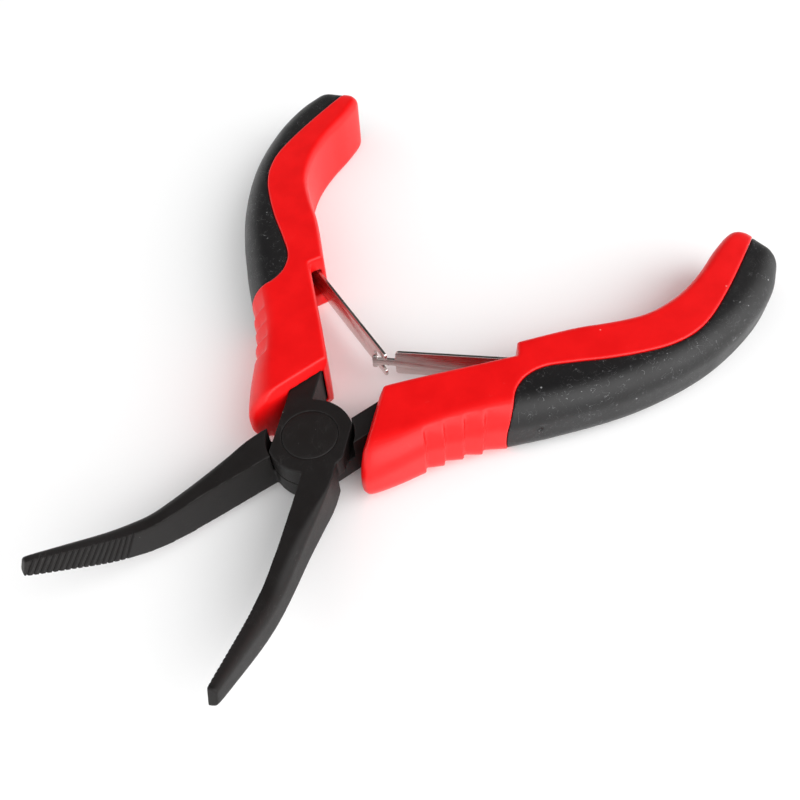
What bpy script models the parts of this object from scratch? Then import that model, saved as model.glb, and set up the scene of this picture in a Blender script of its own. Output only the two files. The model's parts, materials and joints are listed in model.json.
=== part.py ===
"""Spring-opened bent-nose pliers: two lapped steel halves, a flush rivet, two-material grips, leaf springs.

Every outline is drawn for the closed tool, in millimetres, on the side where y is positive.
The pivot axis is x = 0, y = 0, the handles run towards +X and z = 0 is the middle of the joint.
A side of -1 mirrors an outline across the centreline. Empties then open, lift and place the halves.
"""
import math

import bmesh
import bpy
from mathutils import Vector

MM = 0.001
WELD = 0.000002             # metres; closes the slivers that an exact cut can leave

# Driving dimensions, in millimetres and degrees
OPEN_HALF_ANGLE = 21.0      # each half, from the centreline, at rest
GRIP_HALF_HEIGHT = 6.3      # the grips' undersides carry the tool
JOINT_HALF_HEIGHT = 4.15
JOINT_RADIUS = 7.0
SHOULDER_RADIUS = 7.3       # arc that each half clears around the other's lap
LAP_GAP = 0.3
PART_GAP = 0.3              # between two pieces that are fixed to each other
RIVET_GAP = 0.15
RIVET_HEAD_RADIUS = 4.5
RIVET_STEM_RADIUS = 2.7
RIVET_HEAD_RIM = 0.45
RIVET_CONE_END = 1.9
TANG_EDGE = 5.6             # outer flat of the tang and of the lap beside it
JAW_EDGE = 6.2              # outer flat of the lap beside the jaw
OVERLAY_THICKNESS = 2.0
PIVOT_X = -17.6             # puts the origin under the middle of the bounding box

LEAF_THICKNESS = 0.5
LEAF_HALF_HEIGHT = 2.9
LEAF_ROOT = (38.5, 10.0)    # bending line of a leaf, inside the slot behind the grip's step
LEAF_REST_ANGLE = 43.0      # between a leaf and its own half's centreline, at rest
LEAF_CLOSED_ANGLE = 22.5
LEAF_TAIL = 0.6
LEAF_SHOULDER = 23.5        # distances along a leaf from its bending line
LEAF_NECK_END = 26.75
LEAF_HEAD_END = 27.6
FORK_START = 23.2
FORK_END = 27.0
FORK_SLOT_HALF = 1.2
NECK_HALF = 0.8
HEAD_HALF = 1.5
SLOT_CLEARANCE = 0.55
SLOT_HALF_HEIGHT = 3.2

GROOVE_COUNT = 4
GROOVE_FIRST = 0.4          # along the grip's outer side from its fourth station
GROOVE_PITCH = 3.3
GROOVE_RADIUS = 1.0
GROOVE_REACH = 4.2          # the cutter's path is an ellipse with these half axes
GROOVE_RISE = 6.9
GROOVE_STANDOFF = 0.15      # from the chord of the outer side to the middle of the cutter

# Grip stations: inner point, outer point, half height, inner and outer corner radius
GRIP = [
    ((12.9, 1.0), (2.6, 9.6), 4.7, 0.7, 2.4),
    ((14.3, 0.6), (3.6, 11.3), 6.3, 0.8, 3.4),
    ((17.0, 1.6), (8.0, 12.7), 6.3, 0.8, 4.0),
    ((20.5, 3.0), (13.5, 13.8), 6.3, 0.8, 4.4),
    ((25.0, 4.9), (19.5, 15.5), 6.3, 0.8, 4.4),
    ((30.0, 7.0), (25.5, 18.1), 6.3, 0.8, 4.4),
    ((35.5, 9.3), (31.5, 20.7), 6.3, 0.8, 4.4),
    ((37.3, 7.1), (35.0, 22.1), 6.3, 0.9, 4.4),
    ((42.5, 9.0), (41.0, 24.4), 6.3, 1.0, 4.4),
    ((47.5, 11.0), (47.0, 26.3), 6.3, 1.1, 4.4),
    ((52.5, 13.5), (53.0, 27.6), 6.3, 1.2, 4.4),
    ((57.5, 15.6), (59.0, 28.4), 6.3, 1.2, 4.4),
    ((62.0, 16.4), (64.5, 28.6), 6.3, 1.2, 4.4),
    ((67.5, 16.2), (70.5, 28.1), 6.3, 1.3, 4.4),
    ((73.5, 14.9), (77.0, 26.9), 6.3, 1.4, 4.4),
    ((79.5, 12.9), (82.6, 25.0), 6.3, 1.5, 4.4),
    ((84.8, 11.7), (86.0, 22.8), 6.3, 1.6, 4.0),
    ((87.0, 12.7), (87.3, 21.4), 5.8, 1.4, 3.0),
    ((87.8, 14.2), (87.9, 19.8), 4.6, 1.0, 1.8),
]

# Line between the hard shell and the soft overlay, seen from above
OVERLAY_LINE = [
    (23.6, 23.0), (25.4, 20.2), (28.0, 16.9), (30.4, 14.6), (33.6, 13.5), (37.2, 13.9), (41.6, 16.2),
    (46.5, 19.1), (51.5, 21.6), (56.5, 23.5), (61.5, 24.2), (66.5, 23.5), (73.0, 21.3), (80.0, 18.4),
    (87.0, 15.2), (95.0, 11.5),
]
OVERLAY_OUTSIDE = [(110.0, 40.0), (15.0, 40.0)]

# Tang stations: middle point, half width, half height
TANG = [
    ((3.0, 3.5), 2.1, 4.15),
    ((15.0, 3.5), 2.1, 4.15),
    ((17.0, 4.9), 1.8, 3.2),
    ((30.0, 11.2), 1.7, 2.2),
    ((38.0, 15.2), 1.6, 2.0),
    ((47.0, 18.4), 1.5, 2.0),
]

# Jaw stations: distance and height of the top edge, the same of the bottom edge, width, face relief, rounding
JAW = [
    (3.0, 4.15, 3.0, -4.15, 5.4, 0.10, 0.10),
    (8.0, 4.15, 8.0, -4.0, 5.4, 0.50, 0.25),
    (13.0, 4.3, 13.0, -3.7, 4.8, 0.55, 1.30),
    (18.0, 4.6, 18.0, -3.4, 4.1, 0.55, 1.90),
    (23.0, 4.7, 23.5, -2.7, 3.5, 0.40, 1.90),
    (26.5, 4.9, 28.0, -1.4, 3.1, 0.20, 1.70),
    (29.6, 5.9, 31.6, 0.5, 2.8, 0.06, 1.50),
    (33.2, 7.8, 35.2, 2.8, 2.4, 0.06, 1.40),
    (38.2, 10.9, 39.9, 6.9, 1.95, 0.06, 1.10),
    (42.8, 13.8, 44.2, 10.8, 1.5, 0.06, 0.80),
    (43.6, 13.9, 44.7, 11.6, 1.25, 0.15, 0.55),
]


def clear_scene():
    """Start from an empty scene."""
    for item in list(bpy.data.objects):
        bpy.data.objects.remove(item, do_unlink=True)


def material(name, colour, roughness, metallic):
    """One plain Principled material."""
    made = bpy.data.materials.new(name)
    made.use_nodes = True
    shader = made.node_tree.nodes["Principled BSDF"]
    shader.inputs["Base Color"].default_value = (*colour, 1.0)
    shader.inputs["Roughness"].default_value = roughness
    shader.inputs["Metallic"].default_value = metallic
    return made


def mesh_object(name, points, faces, side=1):
    """Closed mesh from points in millimetres, mirrored across the centreline when side is -1."""
    mesh = bpy.data.meshes.new(name)
    mesh.from_pydata([(x * MM, side * y * MM, z * MM) for x, y, z in points], [], faces)
    work = bmesh.new()
    work.from_mesh(mesh)
    bmesh.ops.recalc_face_normals(work, faces=work.faces)
    work.to_mesh(mesh)
    work.free()
    made = bpy.data.objects.new(name, mesh)
    bpy.context.scene.collection.objects.link(made)
    return made


def loft(name, rings, side=1):
    """Skin over rings that all have the same number of points, capped at both ends."""
    count = len(rings[0])
    points = [point for ring in rings for point in ring]
    faces = [list(range(count)), list(range(len(points) - count, len(points)))]
    for row in range(len(rings) - 1):
        for column in range(count):
            after = (column + 1) % count
            low = row * count
            high = low + count
            faces.append((low + column, low + after, high + after, high + column))
    return mesh_object(name, points, faces, side)


def prism(name, outline, bottom, top, side=1):
    """Upright prism over a plan outline."""
    rings = [[(x, y, z) for x, y in outline] for z in (bottom, top)]
    return loft(name, rings, side)


def turned(name, profile, segments=40):
    """Solid of revolution about the pivot axis from (radius, height) points, first and last on the axis."""
    points = [(0.0, 0.0, profile[0][1])]
    for radius, height in profile[1:-1]:
        for step in range(segments):
            angle = 2.0 * math.pi * step / segments
            points.append((radius * math.cos(angle), radius * math.sin(angle), height))
    points.append((0.0, 0.0, profile[-1][1]))
    last = len(points) - 1
    faces = []
    for step in range(segments):
        after = (step + 1) % segments
        faces.append((0, 1 + step, 1 + after))
        faces.append((last, last - segments + after, last - segments + step))
        for row in range(len(profile) - 3):
            low = 1 + row * segments
            high = low + segments
            faces.append((low + step, high + step, high + after, low + after))
    return mesh_object(name, points, faces)


def combine(target, tool, operation):
    """Apply an exact Boolean to the target and delete the tool."""
    modifier = target.modifiers.new("cut", "BOOLEAN")
    modifier.object = tool
    modifier.operation = operation
    modifier.solver = "EXACT"
    graph = bpy.context.evaluated_depsgraph_get()
    result = bpy.data.meshes.new_from_object(target.evaluated_get(graph))
    work = bmesh.new()
    work.from_mesh(result)
    bmesh.ops.remove_doubles(work, verts=work.verts, dist=WELD)
    bmesh.ops.dissolve_degenerate(work, edges=work.edges, dist=WELD)
    work.to_mesh(result)
    work.free()
    target.modifiers.clear()
    target.data = result
    bpy.data.objects.remove(tool, do_unlink=True)


def smooth_line(points, steps):
    """Catmull-Rom curve through plan points."""
    padded = [points[0]] + list(points) + [points[-1]]
    curve = []
    for index in range(len(points) - 1):
        a, b, c, d = [Vector(point) for point in padded[index:index + 4]]
        for step in range(steps):
            t = step / steps
            bend = 2 * a - 5 * b + 4 * c - d
            twist = 3 * b - a - 3 * c + d
            curve.append((2 * b + (c - a) * t + bend * t * t + twist * t ** 3) / 2)
    curve.append(Vector(points[-1]))
    return curve


def offset_line(points, distance):
    """Plan curve moved to its left by a distance."""
    moved = []
    for index, point in enumerate(points):
        before = points[max(index - 1, 0)]
        after = points[min(index + 1, len(points) - 1)]
        along = (after - before).normalized()
        moved.append(point + distance * Vector((-along.y, along.x)))
    return moved


def corner(middle_u, middle_z, radius, start, steps=5):
    """Quarter arc of a section, from the start angle onwards."""
    arc = []
    for step in range(steps + 1):
        angle = math.radians(start + 90.0 * step / steps)
        arc.append((middle_u + radius * math.cos(angle), middle_z + radius * math.sin(angle)))
    return arc


def grip_ring(inner, outer, half_height, inner_radius, outer_radius):
    """Rounded section of a grip, standing on the plan line from its inner to its outer point."""
    start = Vector(inner)
    along = Vector(outer) - start
    width = along.length
    along.normalize()
    low = inner_radius - half_height
    high = half_height - inner_radius
    outer_low = outer_radius - half_height
    outer_high = half_height - outer_radius
    section = corner(inner_radius, low, inner_radius, 180.0, 3)
    section += corner(width - outer_radius, outer_low, outer_radius, 270.0)
    section += corner(width - outer_radius, outer_high, outer_radius, 0.0)
    section += corner(inner_radius, high, inner_radius, 90.0, 3)
    return [(start.x + along.x * u, start.y + along.y * u, z) for u, z in section]


def grip_body(name, side, inset=0.0):
    """Whole grip without its hollows; an inset takes that much off all round, half of it off the inner side."""
    rings = []
    for inner, outer, half_height, inner_radius, outer_radius in GRIP:
        width = (Vector(outer) - Vector(inner)).length
        if inset and width < 4.0 * inset + inner_radius:
            continue
        begun = Vector(inner).lerp(Vector(outer), 0.5 * inset / width)
        reached = Vector(outer).lerp(Vector(inner), inset / width)
        round_corner = max(outer_radius - inset, 0.5)
        height = max(half_height - inset, inner_radius + 0.1)
        rings.append(grip_ring(begun, reached, height, inner_radius, round_corner))
    return loft(name, rings, side)


def overlay_prism(name, side, distance):
    """Everything outside the overlay line, moved outwards by a distance."""
    line = offset_line(smooth_line(OVERLAY_LINE, 3), distance)
    return prism(name, [tuple(point) for point in line] + OVERLAY_OUTSIDE, -9.0, 9.0, side)


def tang_rings(grow):
    """Rectangular sections of the tang, grown by a clearance for the hollow that takes it."""
    rings = []
    for (x, y), half_width, half_height in TANG:
        w = half_width + grow
        h = half_height + grow
        rings.append([(x, y - w, -h), (x, y + w, -h), (x, y + w, h), (x, y - w, h)])
    return rings


def tang_hollow(name, side):
    """Hollow in a shell for the tang, open at the nose."""
    rings = tang_rings(PART_GAP)
    last = rings[-1]
    rings.append([(x + PART_GAP, y, z) for x, y, z in last])
    return loft(name, rings, side)


def leaf_point(distance, sideways, angle):
    """Plan point at a distance along a leaf that leaves its root at an angle, and beside its middle."""
    turn = math.radians(angle)
    x = LEAF_ROOT[0] - distance * math.cos(turn) + sideways * math.sin(turn)
    y = LEAF_ROOT[1] - distance * math.sin(turn) - sideways * math.cos(turn)
    return (x, y)


def leaf_slot(name, side):
    """Flared slot behind the step of the grip, wide enough for the leaf's whole swing."""
    outline = [
        leaf_point(-1.0, SLOT_CLEARANCE, LEAF_REST_ANGLE),
        leaf_point(6.0, SLOT_CLEARANCE, LEAF_REST_ANGLE),
        leaf_point(6.0, -SLOT_CLEARANCE, LEAF_CLOSED_ANGLE),
        leaf_point(-1.0, -SLOT_CLEARANCE, LEAF_CLOSED_ANGLE),
    ]
    return prism(name, outline, -SLOT_HALF_HEIGHT, SLOT_HALF_HEIGHT, side)


def groove(name, index, side):
    """Bent round bar that cuts one finger groove, upright across the outer side of the grip's nose."""
    first, last = Vector(GRIP[3][1]), Vector(GRIP[5][1])
    along = (last - first).normalized()
    middle = first + along * (GROOVE_FIRST + index * GROOVE_PITCH)
    outward = Vector((-along.y, along.x, 0.0))
    rings = []
    for step in range(13):
        angle = math.radians(-90.0 + 180.0 * step / 12)
        normal = outward * math.cos(angle) + Vector((0.0, 0.0, math.sin(angle)))
        reach = GROOVE_REACH * (math.cos(angle) - 1.0) + GROOVE_STANDOFF
        centre = Vector((middle.x, middle.y, 0.0)) + outward * reach
        centre.z = GROOVE_RISE * math.sin(angle)
        ring = []
        for turn in range(8):
            around = 2.0 * math.pi * turn / 8
            spot = centre + GROOVE_RADIUS * (math.cos(around) * normal + math.sin(around) * along.to_3d())
            ring.append(tuple(spot))
        rings.append(ring)
    return loft(name, rings, side)


def grip_shell(name, side):
    """Hard shell: nose, inner side and the core that the overlay is moulded on."""
    shell = grip_body(name, side)
    combine(shell, overlay_prism("outside", side, 0.0), "DIFFERENCE")
    combine(shell, grip_body("core", side, OVERLAY_THICKNESS), "UNION")
    combine(shell, tang_hollow("hollow", side), "DIFFERENCE")
    combine(shell, leaf_slot("slot", side), "DIFFERENCE")
    for index in range(GROOVE_COUNT):
        combine(shell, groove("groove", index, side), "DIFFERENCE")
    return shell


def grip_overlay(name, side):
    """Soft overlay: a C-shaped skin over the back of the grip."""
    overlay = grip_body(name, side)
    combine(overlay, overlay_prism("outside", side, PART_GAP), "INTERSECT")
    combine(overlay, grip_body("core", side, OVERLAY_THICKNESS - PART_GAP), "DIFFERENCE")
    return overlay


def jaw_ring(top_s, top_z, bottom_s, bottom_z, width, relief, rounding):
    """Section of a jaw: flat gripping side, rounded outer side, leaning back towards the tip."""
    bottom = Vector((-bottom_s, bottom_z))
    rise = Vector((-top_s, top_z)) - bottom
    height = rise.length
    rise.normalize()
    section = [(0.0, relief), (height, relief)]
    arcs = corner(width - rounding, rounding, rounding, 270.0, 4)
    arcs += corner(width - rounding, height - rounding, rounding, 0.0, 4)
    section += [(v, u) for u, v in reversed(arcs)]
    return [(bottom.x + rise.x * v, -u, bottom.y + rise.y * v) for v, u in section]


def lap_outline():
    """Joint disc with a flat on the tang's side and one on the jaw's side."""
    outline = []
    for step in range(60):
        angle = 2.0 * math.pi * step / 60
        y = JOINT_RADIUS * math.sin(angle)
        outline.append((JOINT_RADIUS * math.cos(angle), min(max(y, -JAW_EDGE), TANG_EDGE)))
    return outline


def rivet_profile(grow, reach):
    """Radius and height points of the rivet, or of the hole for it."""
    head = RIVET_HEAD_RADIUS + grow
    stem = RIVET_STEM_RADIUS + grow
    rim = JOINT_HALF_HEIGHT - RIVET_HEAD_RIM
    upper = [(0.0, reach), (head, reach), (head, rim), (stem, RIVET_CONE_END)]
    lower = [(radius, -height) for radius, height in reversed(upper)]
    return upper + lower


def forging(name, side, lap):
    """One steel half: tang on its own side, jaw on the other, and an upper (1) or lower (-1) lap."""
    half = prism(name, lap_outline(), -JOINT_HALF_HEIGHT, JOINT_HALF_HEIGHT, side)
    combine(half, loft("tang", tang_rings(0.0), side), "UNION")
    combine(half, loft("jaw", [jaw_ring(*station) for station in JAW], side), "UNION")
    far = (lap * LAP_GAP / 2.0, -lap * 2.0 * JOINT_HALF_HEIGHT)
    ring = [(0.0, max(far)), (SHOULDER_RADIUS, max(far)), (SHOULDER_RADIUS, min(far)), (0.0, min(far))]
    combine(half, turned("clearance", ring, 60), "DIFFERENCE")
    combine(half, turned("hole", rivet_profile(RIVET_GAP, JOINT_HALF_HEIGHT + 1.0)), "DIFFERENCE")
    return half


def leaf_solid(name, side, outline):
    """Leaf at its rest angle from an outline of (distance, height) points."""
    half = LEAF_THICKNESS / 2.0
    rings = []
    for sideways in (-half, half):
        ring = []
        for distance, height in outline:
            x, y = leaf_point(distance, sideways, LEAF_REST_ANGLE)
            ring.append((x, y, height))
        rings.append(ring)
    return loft(name, rings, side)


def fork_leaf(name, side):
    """Leaf that ends in an open fork."""
    edge = LEAF_HALF_HEIGHT
    slot = FORK_SLOT_HALF
    upper = [(-LEAF_TAIL, edge), (FORK_END - 0.5, edge), (FORK_END, edge - 0.4), (FORK_END, slot + 0.1)]
    upper += [(FORK_START + 0.5, slot), (FORK_START, slot - 0.5)]
    lower = [(distance, -height) for distance, height in reversed(upper)]
    return leaf_solid(name, side, upper + lower)


def tongue_leaf(name, side):
    """Leaf that narrows to a tongue with a head, held in the other leaf's fork."""
    edge = LEAF_HALF_HEIGHT
    upper = [(-LEAF_TAIL, edge), (LEAF_SHOULDER - 0.5, edge), (LEAF_SHOULDER, edge - 0.4)]
    upper += [(LEAF_SHOULDER, NECK_HALF), (LEAF_NECK_END, NECK_HALF), (LEAF_NECK_END, HEAD_HALF - 0.2)]
    upper += [(LEAF_NECK_END + 0.2, HEAD_HALF), (LEAF_HEAD_END - 0.4, HEAD_HALF), (LEAF_HEAD_END, HEAD_HALF - 0.4)]
    lower = [(distance, -height) for distance, height in reversed(upper)]
    return leaf_solid(name, side, upper + lower)


def axis_empty(name, parent, spot, angle):
    """Empty on a joint's axis, in its parent's space, turned about +Z."""
    made = bpy.data.objects.new(name, None)
    bpy.context.scene.collection.objects.link(made)
    made.parent = parent
    made.location = Vector(spot) * MM
    made.rotation_euler = (0.0, 0.0, math.radians(angle))
    return made


def place(item, parent, look, origin=(0.0, 0.0)):
    """Parent a piece, with its own origin moved to a plan point, and give it its material."""
    move = Vector((origin[0] * MM, origin[1] * MM, 0.0))
    for vertex in item.data.vertices:
        vertex.co -= move
    item.location = move
    item.parent = parent
    item.data.materials.clear()
    item.data.materials.append(look)
    item.data.shade_smooth()
    item.data.set_sharp_from_angle(angle=math.radians(35.0))


def build():
    """Make every piece and join the halves at the pivot."""
    clear_scene()
    steel = {"colour": (0.018, 0.018, 0.020), "roughness": 0.5, "metallic": 0.6}
    hard = {"colour": (0.80, 0.010, 0.014), "roughness": 0.35, "metallic": 0.0}
    soft = {"colour": (0.022, 0.023, 0.026), "roughness": 0.65, "metallic": 0.0}
    bright = {"colour": (0.62, 0.58, 0.56), "roughness": 0.2, "metallic": 1.0}
    lift = (PIVOT_X, 0.0, GRIP_HALF_HEIGHT)
    upper = axis_empty("pivot_upper_half", None, lift, OPEN_HALF_ANGLE)
    lower = axis_empty("pivot_lower_half", None, lift, -OPEN_HALF_ANGLE)
    left_root = LEAF_ROOT
    right_root = (LEAF_ROOT[0], -LEAF_ROOT[1])
    place(forging("upper_forging", 1, 1), upper, material("upper_forging", **steel))
    place(forging("lower_forging", -1, -1), lower, material("lower_forging", **steel))
    rivet = turned("pivot_rivet", rivet_profile(0.0, JOINT_HALF_HEIGHT))
    place(rivet, upper, material("pivot_rivet", **steel))
    place(grip_shell("left_grip_shell", 1), upper, material("left_grip_shell", **hard))
    place(grip_shell("right_grip_shell", -1), lower, material("right_grip_shell", **hard))
    place(grip_overlay("left_grip_overlay", 1), upper, material("left_grip_overlay", **soft))
    place(grip_overlay("right_grip_overlay", -1), lower, material("right_grip_overlay", **soft))
    place(fork_leaf("left_leaf_spring", 1), upper, material("left_leaf_spring", **bright), left_root)
    place(tongue_leaf("right_leaf_spring", -1), lower, material("right_leaf_spring", **bright), right_root)


build()
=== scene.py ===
import json
import math

import bmesh
import bpy
import numpy as np
from mathutils import Euler, Matrix, Vector


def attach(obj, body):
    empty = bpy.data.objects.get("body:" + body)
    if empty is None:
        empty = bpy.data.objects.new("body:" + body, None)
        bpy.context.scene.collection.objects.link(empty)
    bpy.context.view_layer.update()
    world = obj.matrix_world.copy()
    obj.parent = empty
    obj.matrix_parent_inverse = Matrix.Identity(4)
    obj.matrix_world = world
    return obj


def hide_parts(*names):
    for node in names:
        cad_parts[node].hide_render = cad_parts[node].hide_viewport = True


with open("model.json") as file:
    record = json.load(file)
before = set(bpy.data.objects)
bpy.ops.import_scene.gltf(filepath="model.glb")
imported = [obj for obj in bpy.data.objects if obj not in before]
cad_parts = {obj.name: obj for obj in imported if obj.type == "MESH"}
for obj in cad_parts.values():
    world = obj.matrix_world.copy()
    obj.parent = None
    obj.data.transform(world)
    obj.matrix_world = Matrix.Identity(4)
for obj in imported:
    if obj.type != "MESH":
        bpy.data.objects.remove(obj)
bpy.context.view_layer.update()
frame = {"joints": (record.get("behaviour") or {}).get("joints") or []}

# ------------------------------------------------------------------------------------------------
# The two forgings. Each is one drop forging in carbon steel: a tang, half of the lapped joint and
# a long jaw that tapers and bends upwards. The teeth are milled across the tips, the edges are
# broken on a belt, and the whole piece is blackened and oiled.

MM = 0.001
joints = {joint["name"]: joint for joint in frame["joints"]}
pivot_point = Vector(joints["pivot"]["pos_m"])
half_opening = math.radians(joints["pivot"]["range_deg"][1] / 2.0)

lap_radius = 7.0
lap_half_height = 4.15
lap_gap = 0.12
lap_jaw_flat = 6.2
tang_flat = 5.6
shoulder_radius = 7.15
rivet_seat_radius = 4.56
rivet_seat_depth = 0.55
rivet_hole_radius = 2.85
rivet_neck_height = 1.9
forging_voxel = 0.15

# Jaw stations: distance and height of the top edge, the same of the bottom edge, width,
# relief of the gripping face, rounding of the back
jaw_stations = [
    (3.0, 4.15, 3.0, -4.15, 5.4, 0.10, 0.15),
    (8.0, 4.15, 8.0, -4.0, 5.4, 0.50, 0.25),
    (13.0, 4.3, 13.0, -3.7, 4.8, 0.55, 1.10),
    (18.0, 4.6, 18.0, -3.4, 4.1, 0.55, 1.70),
    (23.0, 4.7, 23.5, -2.7, 3.5, 0.40, 1.80),
    (26.5, 4.9, 28.0, -1.4, 3.1, 0.20, 1.70),
    (29.6, 5.9, 31.6, 0.5, 2.8, 0.06, 1.50),
    (33.2, 7.8, 35.2, 2.8, 2.4, 0.06, 1.40),
    (38.2, 10.9, 39.9, 6.9, 1.95, 0.06, 1.10),
    (42.8, 13.8, 44.2, 10.8, 1.5, 0.06, 0.80),
    (43.6, 13.9, 44.7, 11.6, 1.25, 0.15, 0.55),
]
tang_stations = [
    ((3.0, 3.5), 2.1, 4.15),
    ((15.0, 3.5), 2.1, 4.15),
    ((17.0, 4.9), 1.8, 3.2),
    ((24.0, 8.25), 1.75, 2.7),
]
tooth_count = 17
tooth_first = 32.4
tooth_last = 43.7
tooth_width = 0.56
tooth_depth = 0.30


def flowing(rows, steps):
    """Catmull-Rom rows between stations, each station a flat list of numbers."""
    rows = np.array(rows, float)
    padded = np.vstack([rows[:1], rows, rows[-1:]])
    made = []
    for index in range(len(rows) - 1):
        a, b, c, d = padded[index:index + 4]
        for step in range(steps):
            t = step / steps
            bend = 2 * a - 5 * b + 4 * c - d
            twist = 3 * b - a - 3 * c + d
            made.append((2 * b + (c - a) * t + bend * t * t + twist * t ** 3) / 2)
    made.append(rows[-1])
    return np.array(made)


def solid(name, points, faces):
    """Closed mesh in millimetres, in the closed tool's own plan, with its faces outwards."""
    mesh = bpy.data.meshes.new(name)
    mesh.from_pydata([tuple(point) for point in points], [], faces)
    work = bmesh.new()
    work.from_mesh(mesh)
    bmesh.ops.recalc_face_normals(work, faces=work.faces)
    work.to_mesh(mesh)
    work.free()
    made = bpy.data.objects.new(name, mesh)
    bpy.context.scene.collection.objects.link(made)
    return made


def skinned(name, rings):
    """Skin over rings of equal length, capped at both ends."""
    count = len(rings[0])
    points = [point for ring in rings for point in ring]
    faces = [list(range(count)), list(range(len(points) - count, len(points)))]
    for row in range(len(rings) - 1):
        for column in range(count):
            after = (column + 1) % count
            low = row * count
            high = low + count
            faces.append((low + column, low + after, high + after, high + column))
    return solid(name, points, faces)


def upright(name, outline, bottom, top):
    """Upright block over a plan outline."""
    return skinned(name, [[(x, y, z) for x, y in outline] for z in (bottom, top)])


def turned(name, profile, segments=96):
    """Turned solid about the pivot from (radius, height) points, the first and last on the axis."""
    points = [(0.0, 0.0, profile[0][1])]
    for radius, height in profile[1:-1]:
        for step in range(segments):
            angle = 2.0 * math.pi * step / segments
            points.append((radius * math.cos(angle), radius * math.sin(angle), height))
    points.append((0.0, 0.0, profile[-1][1]))
    last = len(points) - 1
    faces = []
    for step in range(segments):
        after = (step + 1) % segments
        faces.append((0, 1 + step, 1 + after))
        faces.append((last, last - segments + after, last - segments + step))
        for row in range(len(profile) - 3):
            low = 1 + row * segments
            high = low + segments
            faces.append((low + step, high + step, high + after, low + after))
    return solid(name, points, faces)


def settled(item):
    """Replace an object's mesh by its evaluated one and drop its modifiers."""
    graph = bpy.context.evaluated_depsgraph_get()
    result = bpy.data.meshes.new_from_object(item.evaluated_get(graph))
    item.modifiers.clear()
    item.data = result
    return item


def joined(target, tool, operation):
    """Exact Boolean of two solids; the tool is used up."""
    modifier = target.modifiers.new("joined", "BOOLEAN")
    modifier.object = tool
    modifier.operation = operation
    modifier.solver = "EXACT"
    settled(target)
    bpy.data.objects.remove(tool, do_unlink=True)
    return target


def even_skin(item, voxel, passes):
    """One even skin over a solid, with its edges eased as forging and moulding leave them."""
    remesh = item.modifiers.new("skin", "REMESH")
    remesh.mode = "VOXEL"
    remesh.voxel_size = voxel
    ease = item.modifiers.new("ease", "SMOOTH")
    ease.factor = 0.5
    ease.iterations = passes
    return settled(item)


def mark_edges(item, strength):
    """Store how far each point stands out from its neighbours, for wear along the edges and, on the red
    shell, a painted highlight along its lips.
    """
    mesh = item.data
    count = len(mesh.vertices)
    spots = np.zeros(count * 3)
    mesh.vertices.foreach_get("co", spots)
    spots = spots.reshape(-1, 3)
    normals = np.zeros(count * 3, np.float32)
    mesh.vertex_normals.foreach_get("vector", normals)
    normals = normals.reshape(-1, 3)
    pairs = np.zeros(len(mesh.edges) * 2, int)
    mesh.edges.foreach_get("vertices", pairs)
    pairs = pairs.reshape(-1, 2)
    both = np.vstack([pairs, pairs[:, ::-1]])
    away = spots[both[:, 0]] - spots[both[:, 1]]
    away /= np.linalg.norm(away, axis=1, keepdims=True) + 1e-9
    stands = np.einsum("ij,ij->i", away, normals[both[:, 0]])
    total = np.bincount(both[:, 0], minlength=count)
    value = np.bincount(both[:, 0], weights=stands, minlength=count) / np.maximum(total, 1)
    for _ in range(3):
        near = np.bincount(both[:, 0], weights=value[both[:, 1]], minlength=count) / np.maximum(total, 1)
        value = 0.5 * value + 0.5 * near
    value = np.clip(value * strength, 0.0, 1.0)
    attribute = mesh.attributes.new("edge", "FLOAT", "POINT")
    attribute.data.foreach_set("value", value.astype(np.float32))


def laid_down(item, name, side):
    """Move a finished piece from the closed tool's plan, in millimetres, to its place in the row frame."""
    opened = Matrix.Rotation(side * half_opening, 4, "Z")
    sized = Matrix.Diagonal((MM, side * MM, MM, 1.0))
    item.data.transform(Matrix.Translation(pivot_point) @ opened @ sized)
    if side < 0:
        item.data.flip_normals()
    item.name = name
    item.data.name = name
    return item


def round_corner(middle_u, middle_v, radius, start, steps):
    """Quarter arc in a section, from the start angle onwards."""
    arc = []
    for step in range(steps + 1):
        angle = math.radians(start + 90.0 * step / steps)
        arc.append((middle_u + radius * math.cos(angle), middle_v + radius * math.sin(angle)))
    return arc


def jaw_section(top_s, top_z, bottom_s, bottom_z, width, relief, rounding):
    """Section of a jaw: flat gripping side, rounded back, leaning towards the tip."""
    bottom = Vector((-bottom_s, bottom_z))
    rise = Vector((-top_s, top_z)) - bottom
    height = rise.length
    rise.normalize()
    section = [(0.0, relief), (height, relief)]
    arcs = round_corner(width - rounding, rounding, rounding, 270.0, 8)
    arcs += round_corner(width - rounding, height - rounding, rounding, 0.0, 8)
    section += [(v, u) for u, v in reversed(arcs)]
    return [(bottom.x + rise.x * v, -u, bottom.y + rise.y * v) for v, u in section]


def put(tree, kind, inputs=None, **settings):
    """Add a node; an input that is given a socket is linked, any other value is set."""
    node = tree.nodes.new(kind)
    for key, value in settings.items():
        setattr(node, key, value)
    for key, value in (inputs or {}).items():
        if isinstance(value, bpy.types.NodeSocket):
            tree.links.new(value, node.inputs[key])
        else:
            node.inputs[key].default_value = value
    return node


def sockets(tree, taken, given):
    """Named inputs and outputs of a node group, as (name, kind, default) and (name, kind)."""
    for name, kind, default in taken:
        made = tree.interface.new_socket(name=name, in_out="INPUT", socket_type=kind)
        if default is not None:
            made.default_value = default
    for name, kind in given:
        tree.interface.new_socket(name=name, in_out="OUTPUT", socket_type=kind)
    return tree.nodes.new("NodeGroupInput").outputs, tree.nodes.new("NodeGroupOutput")


def with_tree(item, tree, values):
    """Run a geometry tree on an object once and keep the plain mesh."""
    modifier = item.modifiers.new(tree.name, "NODES")
    modifier.node_group = tree
    for entry in tree.interface.items_tree:
        if entry.in_out == "INPUT" and entry.name in values:
            modifier[entry.identifier] = values[entry.name]
    return settled(item)


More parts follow.
